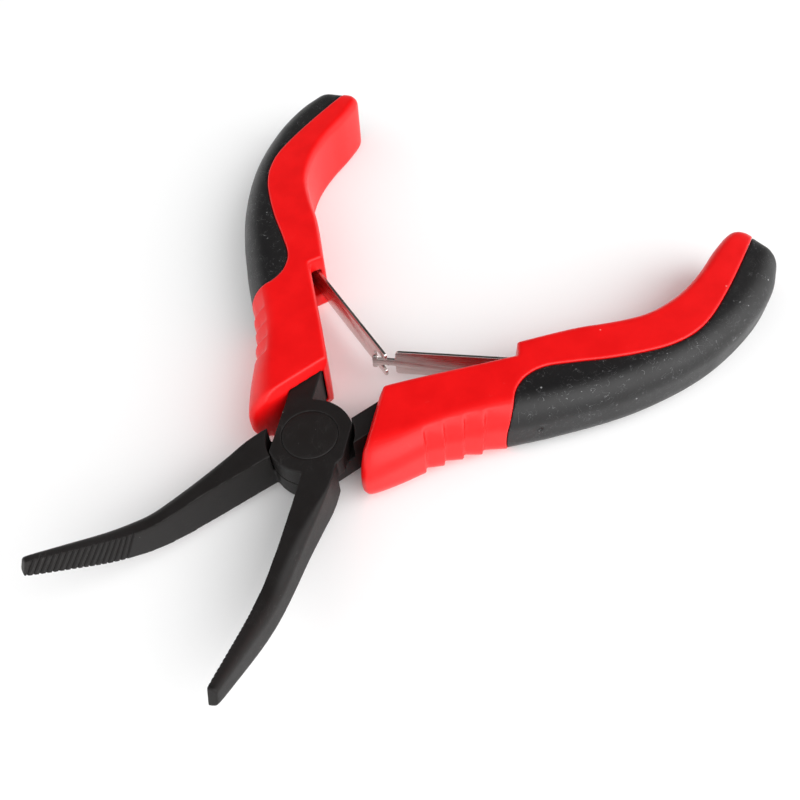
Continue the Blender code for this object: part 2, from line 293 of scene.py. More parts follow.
# Milling cutters for the teeth: four-sided bars set along a guide line on the gripping face
tooth_tree = bpy.data.node_groups.new("tooth_cutters", "GeometryNodeTree")
taken, given = sockets(
    tooth_tree,
    [
        ("Guide", "NodeSocketGeometry", None),
        ("Teeth", "NodeSocketInt", 17),
        ("Width", "NodeSocketFloat", 0.5),
        ("Depth", "NodeSocketFloat", 0.3),
        ("Reach", "NodeSocketFloat", 9.0),
        ("Unevenness", "NodeSocketFloat", 0.06),
        ("Seed", "NodeSocketInt", 4),
        ("Finish", "NodeSocketMaterial", None),
    ],
    [("Cutters", "NodeSocketGeometry")],
)
line = put(tooth_tree, "GeometryNodeMeshToCurve", {"Mesh": taken["Guide"]})
marks = put(tooth_tree, "GeometryNodeResampleCurve", {"Curve": line.outputs[0], "Count": taken["Teeth"]})
bar = put(tooth_tree, "GeometryNodeMeshCylinder", {"Vertices": 4, "Radius": 0.5, "Depth": 1.0})
tangent = put(tooth_tree, "GeometryNodeInputTangent")
across = put(tooth_tree, "FunctionNodeAlignRotationToVector", {"Vector": tangent.outputs[0]}, axis="X")
deeper = put(tooth_tree, "ShaderNodeMath", {0: taken["Depth"], 1: 2.0}, operation="MULTIPLY")
most = put(tooth_tree, "ShaderNodeMath", {0: 1.0, 1: taken["Unevenness"]}, operation="ADD")
least = put(tooth_tree, "ShaderNodeMath", {0: 1.0, 1: taken["Unevenness"]}, operation="SUBTRACT")
chance = put(
    tooth_tree, "FunctionNodeRandomValue",
    {"Min": least.outputs[0], "Max": most.outputs[0], "Seed": taken["Seed"]}, data_type="FLOAT",
)
size = put(
    tooth_tree, "ShaderNodeCombineXYZ",
    {"X": taken["Width"], "Y": deeper.outputs[0], "Z": taken["Reach"]},
)
varied = put(
    tooth_tree, "ShaderNodeVectorMath",
    {0: size.outputs[0], "Scale": chance.outputs["Value"]}, operation="SCALE",
)
bars = put(
    tooth_tree, "GeometryNodeInstanceOnPoints",
    {
        "Points": marks.outputs[0], "Instance": bar.outputs[0],
        "Rotation": across.outputs[0], "Scale": varied.outputs[0],
    },
)
real = put(tooth_tree, "GeometryNodeRealizeInstances", {0: bars.outputs[0]})
finished = put(
    tooth_tree, "GeometryNodeSetMaterial", {"Geometry": real.outputs[0], "Material": taken["Finish"]},
)
tooth_tree.links.new(finished.outputs[0], given.inputs[0])


# Shared surface effects
def new_effect(name, taken, given):
    """Empty shader node group with named sockets."""
    tree = bpy.data.node_groups.new(name, "ShaderNodeTree")
    return tree, *sockets(tree, taken, given)


def math_node(tree, operation, first, second=0.0):
    """One Math node's result."""
    return put(tree, "ShaderNodeMath", {0: first, 1: second}, operation=operation).outputs[0]


def ranged(tree, value, low, high, to_low=0.0, to_high=1.0):
    """Value taken from one range to another, held at its ends."""
    made = put(
        tree, "ShaderNodeMapRange",
        {"Value": value, "From Min": low, "From Max": high, "To Min": to_low, "To Max": to_high},
    )
    return made.outputs[0]


def noise(tree, vector, scale, detail=2.0, rough=0.5, swirl=0.0):
    """Value of a noise texture."""
    made = put(
        tree, "ShaderNodeTexNoise",
        {"Vector": vector, "Scale": scale, "Detail": detail, "Roughness": rough, "Distortion": swirl},
    )
    return made.outputs[0]


# Grain: fine pits and lumps, all sizes in millimetres
grain, taken, given = new_effect(
    "surface_grain",
    [
        ("Vector", "NodeSocketVector", None),
        ("Grains per mm", "NodeSocketFloat", 6.0),
        ("Lumps per mm", "NodeSocketFloat", 0.5),
    ],
    [("Height", "NodeSocketFloat"), ("Speckle", "NodeSocketFloat"), ("Patches", "NodeSocketFloat")],
)
small = noise(grain, taken["Vector"], taken["Grains per mm"], 3.0, 0.62)
lumps = noise(grain, taken["Vector"], taken["Lumps per mm"], 3.0, 0.55)
pits = math_node(grain, "MULTIPLY", small, 0.75)
height = math_node(grain, "ADD", pits, math_node(grain, "MULTIPLY", lumps, 0.25))
grain.links.new(height, given.inputs["Height"])
grain.links.new(ranged(grain, small, 0.42, 0.72), given.inputs["Speckle"])
grain.links.new(ranged(grain, lumps, 0.35, 0.65), given.inputs["Patches"])

# Dust: scattered specks of uneven size and thin curled fibres
dust, taken, given = new_effect(
    "dust_and_lint",
    [
        ("Vector", "NodeSocketVector", None),
        ("Specks per mm", "NodeSocketFloat", 0.8),
        ("Speck Size", "NodeSocketFloat", 0.12),
        ("Speck Share", "NodeSocketFloat", 0.3),
        ("Lint Share", "NodeSocketFloat", 0.2),
    ],
    [("Specks", "NodeSocketFloat"), ("Lint", "NodeSocketFloat")],
)
cells = put(
    dust, "ShaderNodeTexVoronoi",
    {"Vector": taken["Vector"], "Scale": taken["Specks per mm"], "Randomness": 1.0}, feature="F1",
)
lot = put(dust, "ShaderNodeSeparateColor", {0: cells.outputs["Color"]})
chosen = math_node(dust, "LESS_THAN", lot.outputs[0], taken["Speck Share"])
reach = math_node(dust, "MULTIPLY", taken["Speck Size"], math_node(dust, "POWER", lot.outputs[1], 2.5))
inside = math_node(dust, "SUBTRACT", reach, cells.outputs["Distance"])
speck = math_node(dust, "MULTIPLY", chosen, ranged(dust, inside, 0.0, 0.02))
dust.links.new(speck, given.inputs["Specks"])
curl = noise(dust, taken["Vector"], 0.55, 1.0, 0.4, 1.6)
thread = math_node(dust, "ABSOLUTE", math_node(dust, "SUBTRACT", curl, 0.5))
where = noise(dust, taken["Vector"], 0.62, 1.0, 0.5)
limit = math_node(dust, "SUBTRACT", 1.0, taken["Lint Share"])
present = ranged(dust, math_node(dust, "SUBTRACT", where, math_node(dust, "MULTIPLY", limit, 0.8)), 0.0, 0.05)
lint = math_node(dust, "MULTIPLY", ranged(dust, thread, 0.0035, 0.0), present)
dust.links.new(lint, given.inputs["Lint"])

# Scratches: two sets of thin straight lines that come and go
scratches, taken, given = new_effect(
    "fine_scratches",
    [
        ("Vector", "NodeSocketVector", None),
        ("Length", "NodeSocketFloat", 5.0),
        ("Share", "NodeSocketFloat", 0.3),
    ],
    [("Mask", "NodeSocketFloat")],
)
sets = []
for turn, spacing in ((0.5, 3.0), (-1.1, 2.2)):
    turned_round = put(
        scratches, "ShaderNodeMapping",
        {"Vector": taken["Vector"], "Rotation": (0.3, 0.2, turn), "Scale": (1.0, spacing, spacing)},
    )
    stretched = put(scratches, "ShaderNodeVectorMath", {0: turned_round.outputs[0]}, operation="MULTIPLY")
    drawn = put(scratches, "ShaderNodeCombineXYZ", {"Y": 1.0, "Z": 1.0})
    scratches.links.new(math_node(scratches, "DIVIDE", 1.0, taken["Length"]), drawn.inputs["X"])
    scratches.links.new(drawn.outputs[0], stretched.inputs[1])
    lines = noise(scratches, stretched.outputs[0], 1.0, 0.0, 0.5)
    ridge = math_node(scratches, "ABSOLUTE", math_node(scratches, "SUBTRACT", lines, 0.5))
    sets.append(ranged(scratches, ridge, 0.012, 0.0))
patchy = noise(scratches, taken["Vector"], 0.22, 2.0, 0.5)
missing = math_node(scratches, "SUBTRACT", taken["Share"], 1.0)
kept = ranged(scratches, math_node(scratches, "ADD", patchy, missing), 0.0, 0.2)
mask = math_node(scratches, "MULTIPLY", math_node(scratches, "MAXIMUM", sets[0], sets[1]), kept)
scratches.links.new(mask, given.inputs["Mask"])

# Outstanding edges, broken up by noise: rubbed wear on most finishes, and on the red shell partly a painted
# highlight along its lips
rubbed, taken, given = new_effect(
    "edge_wear_and_sheen",
    [
        ("Vector", "NodeSocketVector", None),
        ("Edge", "NodeSocketFloat", 0.0),
        ("Reach", "NodeSocketFloat", 0.5),
    ],
    [("Mask", "NodeSocketFloat")],
)
broken = noise(rubbed, taken["Vector"], 1.3, 4.0, 0.65)
uneven = math_node(rubbed, "MULTIPLY", math_node(rubbed, "SUBTRACT", broken, 0.5), 0.9)
raised = math_node(rubbed, "ADD", taken["Edge"], uneven)
start = math_node(rubbed, "SUBTRACT", 1.0, taken["Reach"])
past = math_node(rubbed, "SUBTRACT", raised, start)
rubbed.links.new(ranged(rubbed, past, 0.0, 0.25), given.inputs["Mask"])


def new_finish(name):
    """Material with its shader and its place in millimetres."""
    made = bpy.data.materials.new(name)
    made.use_nodes = True
    tree = made.node_tree
    shader = tree.nodes["Principled BSDF"]
    place = put(tree, "ShaderNodeTexCoord")
    millimetres = put(tree, "ShaderNodeMapping", {"Vector": place.outputs["Object"], "Scale": (1000.0,) * 3})
    return made, tree, shader, millimetres.outputs[0]


def effect(tree, group, vector, **values):
    """Place a shared effect with its own values; underscores in a name stand for spaces."""
    node = tree.nodes.new("ShaderNodeGroup")
    node.node_tree = group
    tree.links.new(vector, node.inputs["Vector"])
    for key, value in values.items():
        name = key.replace("_", " ")
        if isinstance(value, bpy.types.NodeSocket):
            tree.links.new(value, node.inputs[name])
        else:
            node.inputs[name].default_value = value
    return node.outputs


def blended(tree, share, first, second):
    """Mix of two colours, each a socket or three numbers."""
    colours = {}
    for key, value in ((6, first), (7, second)):
        colours[key] = value if isinstance(value, bpy.types.NodeSocket) else (*value, 1.0)
    made = put(tree, "ShaderNodeMix", {0: share, **colours}, data_type="RGBA")
    return made.outputs[2]


def edge_value(tree):
    """The stored edge attribute."""
    return put(tree, "ShaderNodeAttribute", attribute_name="edge").outputs["Fac"]


def blackened_steel(name, lightness):
    """Black oxide over a forged skin: brown-black speckle, rubbed edges, dust, lint and light scratches."""
    made, tree, shader, spot = new_finish(name)
    skin = effect(tree, grain, spot, Grains_per_mm=7.0, Lumps_per_mm=0.45)
    motes = effect(tree, dust, spot, Specks_per_mm=1.1, Speck_Size=0.13, Speck_Share=0.16, Lint_Share=0.15)
    marks = effect(tree, scratches, spot, Length=7.0, Share=0.5)
    worn = effect(tree, rubbed, spot, Edge=edge_value(tree), Reach=0.62)
    dark = tuple(value * lightness for value in (0.0046, 0.0038, 0.0036))
    brown = tuple(value * lightness for value in (0.017, 0.011, 0.010))
    colour = blended(tree, math_node(tree, "MULTIPLY", skin["Speckle"], 0.55), dark, brown)
    patches = math_node(tree, "MULTIPLY", skin["Patches"], 0.25)
    colour = blended(tree, patches, colour, (0.009, 0.0085, 0.0085))
    colour = blended(tree, math_node(tree, "MULTIPLY", worn["Mask"], 0.55), colour, (0.06, 0.056, 0.053))
    colour = blended(tree, math_node(tree, "MULTIPLY", marks["Mask"], 0.22), colour, (0.13, 0.125, 0.12))
    fluff = math_node(tree, "MAXIMUM", motes["Specks"], motes["Lint"])
    colour = blended(tree, math_node(tree, "MULTIPLY", fluff, 0.5), colour, (0.42, 0.41, 0.40))
    tree.links.new(colour, shader.inputs["Base Color"])
    tree.links.new(ranged(tree, skin["Height"], 0.3, 0.7, 0.44, 0.62), shader.inputs["Roughness"])
    tree.links.new(math_node(tree, "MULTIPLY", worn["Mask"], 0.6), shader.inputs["Metallic"])
    shader.inputs["Specular IOR Level"].default_value = 0.30
    bump = put(tree, "ShaderNodeBump", {"Strength": 0.35, "Distance": 0.00004, "Height": skin["Height"]})
    tree.links.new(bump.outputs[0], shader.inputs["Normal"])
    return made


steel = blackened_steel("blackened_steel", 1.0)


def tooth_bars(side):
    """Cutter bars for one jaw's teeth, from the tip back along the middle of its gripping face."""
    rows = flowing(jaw_stations, 10)
    middles = [
        ((-top_s - low_s) / 2, -relief, (top_z + low_z) / 2)
        for top_s, top_z, low_s, low_z, _, relief, _ in rows
    ]
    chosen = [spot for spot in middles if tooth_first - 1.0 <= -spot[0] <= tooth_last]
    chosen.reverse()
    mesh = bpy.data.meshes.new("tooth_guide")
    mesh.from_pydata(chosen, [(index, index + 1) for index in range(len(chosen) - 1)], [])
    guide = bpy.data.objects.new("tooth_guide", mesh)
    bpy.context.scene.collection.objects.link(guide)
    values = {
        "Teeth": tooth_count, "Width": tooth_width, "Depth": tooth_depth,
        "Seed": 4 + side, "Finish": steel,
    }
    return with_tree(guide, tooth_tree, values)


def forging(name, side, lap):
    """One steel half: tang on its own side, jaw on the other, upper (1) or lower (-1) lap."""
    outline = []
    for step in range(128):
        angle = 2.0 * math.pi * step / 128
        y = lap_radius * math.sin(angle)
        outline.append((lap_radius * math.cos(angle), min(max(y, -lap_jaw_flat), tang_flat)))
    half = upright("lap", outline, -lap_half_height, lap_half_height)
    rings = []
    for (x, y), half_width, half_height in tang_stations:
        low, high = y - half_width, y + half_width
        corners = ((low, -half_height), (high, -half_height), (high, half_height), (low, half_height))
        rings.append([(x, across_tang, z) for across_tang, z in corners])
    joined(half, skinned("tang", rings), "UNION")
    joined(half, skinned("jaw", [jaw_section(*row) for row in flowing(jaw_stations, 8)]), "UNION")
    far = (lap * lap_gap / 2.0, -lap * 2.0 * lap_half_height)
    ring = [(0.0, max(far)), (shoulder_radius, max(far)), (shoulder_radius, min(far)), (0.0, min(far))]
    joined(half, turned("other_lap", ring, 128), "DIFFERENCE")
    top = lap_half_height + 1.0
    rim = lap_half_height - rivet_seat_depth
    seat = [(0.0, top), (rivet_seat_radius, top), (rivet_seat_radius, rim)]
    seat.append((rivet_hole_radius, rivet_neck_height))
    seat += [(radius, -height) for radius, height in reversed(seat)]
    joined(half, turned("rivet_seat", seat), "DIFFERENCE")
    even_skin(half, forging_voxel, 3)
    joined(half, tooth_bars(side), "DIFFERENCE")
    mark_edges(half, 2.6)
    half.data.materials.clear()
    half.data.materials.append(steel)
    half.data.shade_smooth()
    half.data.set_sharp_from_angle(angle=math.radians(38.0))
    return laid_down(half, name, side)


upper_steel = forging("upper_forged_half", 1, 1)
lower_steel = forging("lower_forged_half", -1, -1)
for piece, node, body in (
    (upper_steel, "upper_forging", "upper_half"),
    (lower_steel, "lower_forging", "lower_half"),
):
    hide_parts(node)
    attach(piece, body)

# ------------------------------------------------------------------------------------------------
# The rivet. A turned steel pin, countersunk at both ends and ground flush with the laps after it
# is peened, then blackened with them. Only a thin ring shows where it ends.

rivet_radius = 4.5
rivet_stem = 2.7
rivet_steel = blackened_steel("rivet_steel", 1.15)
head = [
    (0.0, lap_half_height - 0.02),
    (3.9, lap_half_height - 0.02),
    (4.35, lap_half_height - 0.03),
    (4.44, lap_half_height - 0.06),
    (rivet_radius, lap_half_height - 0.12),
    (rivet_radius, lap_half_height - 0.45),
    (rivet_stem, rivet_neck_height),
]
rivet = turned("joint_rivet", head + [(radius, -height) for radius, height in reversed(head)], 128)
rivet.data.materials.append(rivet_steel)
rivet.data.shade_smooth()
rivet.data.set_sharp_from_angle(angle=math.radians(40.0))
laid_down(rivet, "joint_rivet", 1)
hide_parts("pivot_rivet")
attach(rivet, "upper_half")

# ------------------------------------------------------------------------------------------------
# The grip shells. Hard plastic moulded over the tangs, with a blunt chamfered nose, four sawtooth
# finger grooves, a step with the spring's slot, and a lip against the soft overlay.

grip_voxel = 0.22
# Grip stations: inner point, outer point, inner corner radius, outer corner's width and height
grip_stations = [
    (12.9, 1.0, 3.4, 9.1, 0.5, 8.0, 5.9),
    (13.2, 0.9, 2.6, 10.1, 0.6, 7.4, 5.8),
    (13.7, 0.75, 2.5, 11.0, 0.7, 6.8, 5.6),
    (14.4, 0.65, 3.5, 11.8, 0.8, 6.0, 5.3),
    (17.0, 1.6, 8.0, 12.8, 0.8, 5.0, 4.8),
    (20.5, 3.0, 13.5, 13.7, 0.8, 4.4, 4.4),
    (25.0, 4.9, 19.5, 15.4, 0.8, 4.4, 4.4),
    (30.0, 7.0, 25.5, 18.0, 0.8, 4.4, 4.4),
    (35.5, 9.3, 31.5, 20.7, 0.8, 4.4, 4.4),
    (37.3, 7.1, 35.0, 22.1, 0.9, 4.4, 4.4),
    (42.5, 9.0, 41.0, 24.4, 1.0, 4.4, 4.4),
    (47.5, 11.0, 47.0, 26.3, 1.1, 4.4, 4.4),
    (52.5, 13.5, 53.0, 27.6, 1.2, 4.4, 4.4),
    (57.5, 15.6, 59.0, 28.4, 1.2, 4.4, 4.4),
    (62.0, 16.4, 64.5, 28.6, 1.2, 4.4, 4.4),
    (67.5, 16.2, 70.5, 28.1, 1.3, 4.4, 4.4),
    (73.5, 14.9, 77.0, 26.9, 1.4, 4.4, 4.4),
    (79.5, 12.9, 82.6, 25.0, 1.5, 4.4, 4.4),
    (84.8, 11.7, 86.0, 22.8, 1.6, 4.0, 4.0),
    (86.9, 12.5, 87.3, 21.6, 1.5, 3.2, 3.2),
    (87.9, 14.0, 87.9, 20.0, 1.2, 2.2, 2.2),
]
grip_half_height = 6.3
end_half_heights = (6.3, 5.9, 4.9)      # at the last three stations, where the end rounds off
step_station = 8        # the inner side steps in after this station
nose_bevel_height = 4.25
nose_bevel_depth = 0.8
overlay_line = [
    (23.6, 23.0), (25.4, 20.2), (28.0, 16.9), (30.4, 14.6), (33.6, 13.5), (37.2, 13.9), (41.6, 16.2),
    (46.5, 19.1), (51.5, 21.6), (56.5, 23.5), (61.5, 24.2), (66.5, 23.5), (73.0, 21.3), (80.0, 18.4),
    (87.0, 15.2), (95.0, 11.5),
]
overlay_outside = [(110.0, 40.0), (15.0, 40.0)]
overlay_bulge = 1.4
groove_count = 4
groove_pitch = 3.3
groove_first = 5.0      # along the outer side, from where the nose ends
groove_lean = 0.25
groove_depth = 0.75
last_stretch = 1.7
leaf_root = (38.5, 10.0)
leaf_rest_angle = 43.0
leaf_closed_angle = 22.5
slot_clearance = 0.55
slot_half_height = 3.2


def grip_rows(steps):
    """Stations between the given ones, with the half height; the inner side keeps its step."""
    heights = [grip_half_height] * (len(grip_stations) - len(end_half_heights)) + list(end_half_heights)
    rows = np.column_stack([grip_stations, heights])
    whole = flowing(rows, steps)
    front = flowing(rows[:step_station + 1, :2], steps)
    back = flowing(rows[step_station + 1:, :2], steps)
    first, second = rows[step_station, :2], rows[step_station + 1, :2]
    ramp = [first + (second - first) * step / steps for step in range(1, steps)]
    whole[:, :2] = np.vstack([front, ramp, back])
    return whole


def grip_section(inner, outer, half_height, inner_radius, corner_width, corner_height):
    """Rounded section of a grip, standing on the plan line from its inner to its outer point."""
    start = Vector(inner)
    along = Vector(outer) - start
    width = along.length
    along.normalize()
    section = round_corner(inner_radius, inner_radius - half_height, inner_radius, 180.0, 5)
    for first, level in ((270.0, corner_height - half_height), (0.0, half_height - corner_height)):
        for step in range(13):
            turn = math.radians(first + 90.0 * step / 12)
            u = width - corner_width * (1.0 - math.cos(turn))
            section.append((u, level + corner_height * math.sin(turn)))
    section += round_corner(inner_radius, half_height - inner_radius, inner_radius, 90.0, 5)
    return [(start.x + along.x * u, start.y + along.y * u, z) for u, z in section]


def grip_body(lowered=0.0):
    """Whole grip in one piece; lowered takes that much off its top, underside and outer side."""
    rings = []
    for row in grip_rows(8):
        inner, outer = row[0:2], row[2:4]
        inner_radius, corner_width, corner_height, half_height = row[4:8]
        outer = outer + (inner - outer) * lowered / math.dist(inner, outer)
        height = half_height - lowered
        rings.append(grip_section(inner, outer, height, inner_radius, corner_width, corner_height))
    return skinned("grip", rings)


def nose_bevel(level):
    """Wedge that bevels the end of the nose, on the top (1) or the underside (-1)."""
    inner, outer = Vector(grip_stations[0][0:2]), Vector(grip_stations[0][2:4])
    along = (outer - inner).normalized()
    inwards = Vector((along.y, -along.x))
    slope = (grip_half_height - nose_bevel_height) / nose_bevel_depth
    rings = []
    for distance in (-3.0, 14.0):
        base = inner + along * distance
        ring = []
        for depth, height in ((-0.6, 0.0), (1.2, 0.0), (1.2, 3.0), (-0.6, 5.0)):
            spot = base + inwards * depth
            ring.append((spot.x, spot.y, level * (nose_bevel_height + slope * depth + height)))
        rings.append(ring)
    return skinned("nose_bevel", rings)


def outside_of_line(distance):
    """Upright block outside the overlay line, moved outwards; its front bulges towards the nose."""
    line = flowing(overlay_line, 8)
    rings = []
    for z in (-9.0, -6.3, -5.2, -3.8, -2.0, 0.0, 2.0, 3.8, 5.2, 6.3, 9.0):
        bulge = overlay_bulge * max(0.0, 1.0 - (z / grip_half_height) ** 2)
        ring = []
        for index, spot in enumerate(line):
            before = line[max(index - 1, 0)]
            after = line[min(index + 1, len(line) - 1)]
            along = (after - before) / np.linalg.norm(after - before)
            forward = bulge * min(1.0, max(0.0, (31.0 - spot[0]) / 5.0))
            ring.append((spot[0] - distance * along[1] - forward, spot[1] + distance * along[0], z))
        rings.append(ring + [(x, y, z) for x, y in overlay_outside])
    return skinned("outside", rings)


def leaf_spot(distance, sideways, angle):
    """Plan point at a distance along a leaf that leaves its root at an angle, and beside its middle."""
    turn = math.radians(angle)
    x = leaf_root[0] - distance * math.cos(turn) + sideways * math.sin(turn)
    y = leaf_root[1] - distance * math.sin(turn) - sideways * math.cos(turn)
    return (x, y)


# Cutters for the finger grooves: one sawtooth block, repeated along the side of the nose
groove_tree = bpy.data.node_groups.new("groove_cutters", "GeometryNodeTree")
taken, given = sockets(
    groove_tree,
    [
        ("Cutter", "NodeSocketGeometry", None),
        ("Grooves", "NodeSocketInt", 4),
        ("Pitch", "NodeSocketFloat", 3.3),
        ("Last Stretch", "NodeSocketFloat", 1.6),
        ("Finish", "NodeSocketMaterial", None),
    ],
    [("Cutters", "NodeSocketGeometry")],
)
stride = put(groove_tree, "ShaderNodeCombineXYZ", {"X": taken["Pitch"]})
spots = put(
    groove_tree, "GeometryNodeMeshLine",
    {"Count": taken["Grooves"], "Offset": stride.outputs[0]}, mode="OFFSET",
)
number = put(groove_tree, "GeometryNodeInputIndex")
final = put(groove_tree, "ShaderNodeMath", {0: taken["Grooves"], 1: 1.5}, operation="SUBTRACT")
is_last = put(
    groove_tree, "ShaderNodeMath", {0: number.outputs[0], 1: final.outputs[0]}, operation="GREATER_THAN",
)
more = put(groove_tree, "ShaderNodeMath", {0: taken["Last Stretch"], 1: 1.0}, operation="SUBTRACT")
longer = put(
    groove_tree, "ShaderNodeMath",
    {0: is_last.outputs[0], 1: more.outputs[0], 2: 1.0}, operation="MULTIPLY_ADD",
)
stretch = put(groove_tree, "ShaderNodeCombineXYZ", {"X": longer.outputs[0], "Y": 1.0, "Z": 1.0})
blocks = put(
    groove_tree, "GeometryNodeInstanceOnPoints",
    {"Points": spots.outputs[0], "Instance": taken["Cutter"], "Scale": stretch.outputs[0]},
)
real = put(groove_tree, "GeometryNodeRealizeInstances", {0: blocks.outputs[0]})
finished = put(
    groove_tree, "GeometryNodeSetMaterial", {"Geometry": real.outputs[0], "Material": taken["Finish"]},
)
groove_tree.links.new(finished.outputs[0], given.inputs[0])


def red_plastic():
    """Glossy red moulding with a faint spark-eroded grain, pale lips that are partly rubbed wear and partly a
    painted highlight, dust and hair scratches.
    """
    made, tree, shader, spot = new_finish("red_shell")
    skin = effect(tree, grain, spot, Grains_per_mm=4.5, Lumps_per_mm=0.22)
    motes = effect(tree, dust, spot, Specks_per_mm=0.55, Speck_Size=0.11, Speck_Share=0.16, Lint_Share=0.10)
    marks = effect(tree, scratches, spot, Length=8.0, Share=0.34)
    worn = effect(tree, rubbed, spot, Edge=edge_value(tree), Reach=0.5)
    colour = blended(tree, skin["Patches"], (0.74, 0.0026, 0.0034), (0.81, 0.0038, 0.0046))
    colour = blended(tree, math_node(tree, "MULTIPLY", skin["Speckle"], 0.12), colour, (0.70, 0.002, 0.003))
    # Paler pinkish red on the outstanding edges: partly rubbed wear, partly a painted highlight along the
    # shell's lips
    colour = blended(tree, math_node(tree, "MULTIPLY", worn["Mask"], 0.35), colour, (0.95, 0.12, 0.10))
    colour = blended(tree, math_node(tree, "MULTIPLY", marks["Mask"], 0.18), colour, (0.95, 0.22, 0.18))
    fluff = math_node(tree, "MAXIMUM", motes["Specks"], motes["Lint"])
    colour = blended(tree, math_node(tree, "MULTIPLY", fluff, 0.45), colour, (0.95, 0.45, 0.40))
    tree.links.new(colour, shader.inputs["Base Color"])
    scuffed = math_node(tree, "MULTIPLY", marks["Mask"], 0.1)
    rough = math_node(tree, "ADD", ranged(tree, skin["Height"], 0.3, 0.7, 0.30, 0.42), scuffed)
    tree.links.new(rough, shader.inputs["Roughness"])
    shader.inputs["Specular IOR Level"].default_value = 0.36
    bump = put(tree, "ShaderNodeBump", {"Strength": 0.22, "Distance": 0.00003, "Height": skin["Height"]})
    tree.links.new(bump.outputs[0], shader.inputs["Normal"])
    return made


shell_red = red_plastic()


def groove_bars():
    """All the groove cutters of one grip, in place along the outer side of its nose."""
    corner_radius = 4.4
    straight = grip_half_height - corner_radius
    groove_length = groove_pitch - 0.14
    clear = 1.6             # how far the cutters stand out of the shell
    path = []
    for degrees in range(-110, 1, 11):
        turn = math.radians(degrees)
        out = corner_radius * (math.cos(turn) - 1.0)
        path.append((out, corner_radius * math.sin(turn) - straight, turn, 1.0))
    for step in range(1, 4):
        path.append((0.0, straight * (step / 2 - 1.0), 0.0, 1.0))
    for degrees in range(0, 67, 6):
        turn = math.radians(degrees)
        fade = min(1.0, (68.0 - degrees) / 30.0) ** 0.8
        out = corner_radius * (math.cos(turn) - 1.0)
        path.append((out, corner_radius * math.sin(turn) + straight, turn, fade))
    rings = []
    for out, z, turn, fade in path:
        ring = []
        for step in range(7):
            share = step / 6
            depth = groove_depth * fade * (1.0 - share) ** 1.15 - 0.01
            along = groove_length * share
            ring.append((along, out - depth * math.cos(turn), z - depth * math.sin(turn)))
        for along in (groove_length, -0.08):
            ring.append((along, out + clear * math.cos(turn), z + clear * math.sin(turn)))
        rings.append(ring)
    block = skinned("groove_cutter", rings)
    values = {
        "Grooves": groove_count, "Pitch": groove_pitch, "Last Stretch": last_stretch, "Finish": shell_red,
    }
    bars = with_tree(block, groove_tree, values)
    side_line = flowing(np.array(grip_stations)[4:10, 2:4], 12)
    steps = np.diff(side_line, axis=0)
    lengths = np.hypot(steps[:, 0], steps[:, 1])
    distances = np.concatenate([[0.0], np.cumsum(lengths)])
    headings = np.arctan2(steps[:, 1], steps[:, 0])
    for vertex in bars.data.vertices:
        along, out, z = vertex.co
        along += groove_first - groove_lean * out
        heading = np.interp(along, distances[:-1], headings)
        x = np.interp(along, distances, side_line[:, 0]) - out * math.sin(heading)
        y = np.interp(along, distances, side_line[:, 1]) + out * math.cos(heading)
        vertex.co = (x, y, z)
    return bars


def tang_hole():
    """Hole in the nose that the tang goes into."""
    rings = []
    for (x, y), half_width, half_height in tang_stations:
        w = half_width + 0.15
        h = half_height + 0.15
        rings.append([(x, y - w, -h), (x, y + w, -h), (x, y + w, h), (x, y - w, h)])
    return skinned("tang_hole", rings)


def grip_shell():
    """Hard shell of the left grip in the closed tool's plan."""
    shell = grip_body()
    joined(shell, outside_of_line(0.0), "DIFFERENCE")
    joined(shell, tang_hole(), "DIFFERENCE")
    slot = [
        leaf_spot(-1.0, slot_clearance, leaf_rest_angle),
        leaf_spot(6.0, slot_clearance, leaf_rest_angle),
        leaf_spot(6.0, -slot_clearance, leaf_closed_angle),
        leaf_spot(-1.0, -slot_clearance, leaf_closed_angle),
    ]
    joined(shell, upright("leaf_slot", slot, -slot_half_height, slot_half_height), "DIFFERENCE")
    joined(shell, groove_bars(), "DIFFERENCE")
    for level in (1, -1):
        joined(shell, nose_bevel(level), "DIFFERENCE")
    return even_skin(shell, grip_voxel, 4)


left_shell = grip_shell()
mark_edges(left_shell, 2.4)
left_shell.data.materials.clear()
left_shell.data.materials.append(shell_red)
left_shell.data.shade_smooth()
right_shell = left_shell.copy()
right_shell.data = left_shell.data.copy()
bpy.context.scene.collection.objects.link(right_shell)
for piece, name, side, body in (
    (left_shell, "left_grip_shell_moulding", 1, "upper_half"),
    (right_shell, "right_grip_shell_moulding", -1, "lower_half"),
):
    laid_down(piece, name, side)
    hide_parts(name.replace("_moulding", ""))
    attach(piece, body)

# ------------------------------------------------------------------------------------------------
# The soft overlays. Thermoplastic rubber shot over the backs of the shells. It ends a little below
# the shell's lip, has a fine spark-eroded grain, and holds dust. A small gate mark shows outside.

overlay_lowered = 0.22
overlay_voxel = 0.22
gate_ball = 0.65        # radius of the cutter that dimples the gate mark
gate_spot = (31.0, 20.6, 0.6)


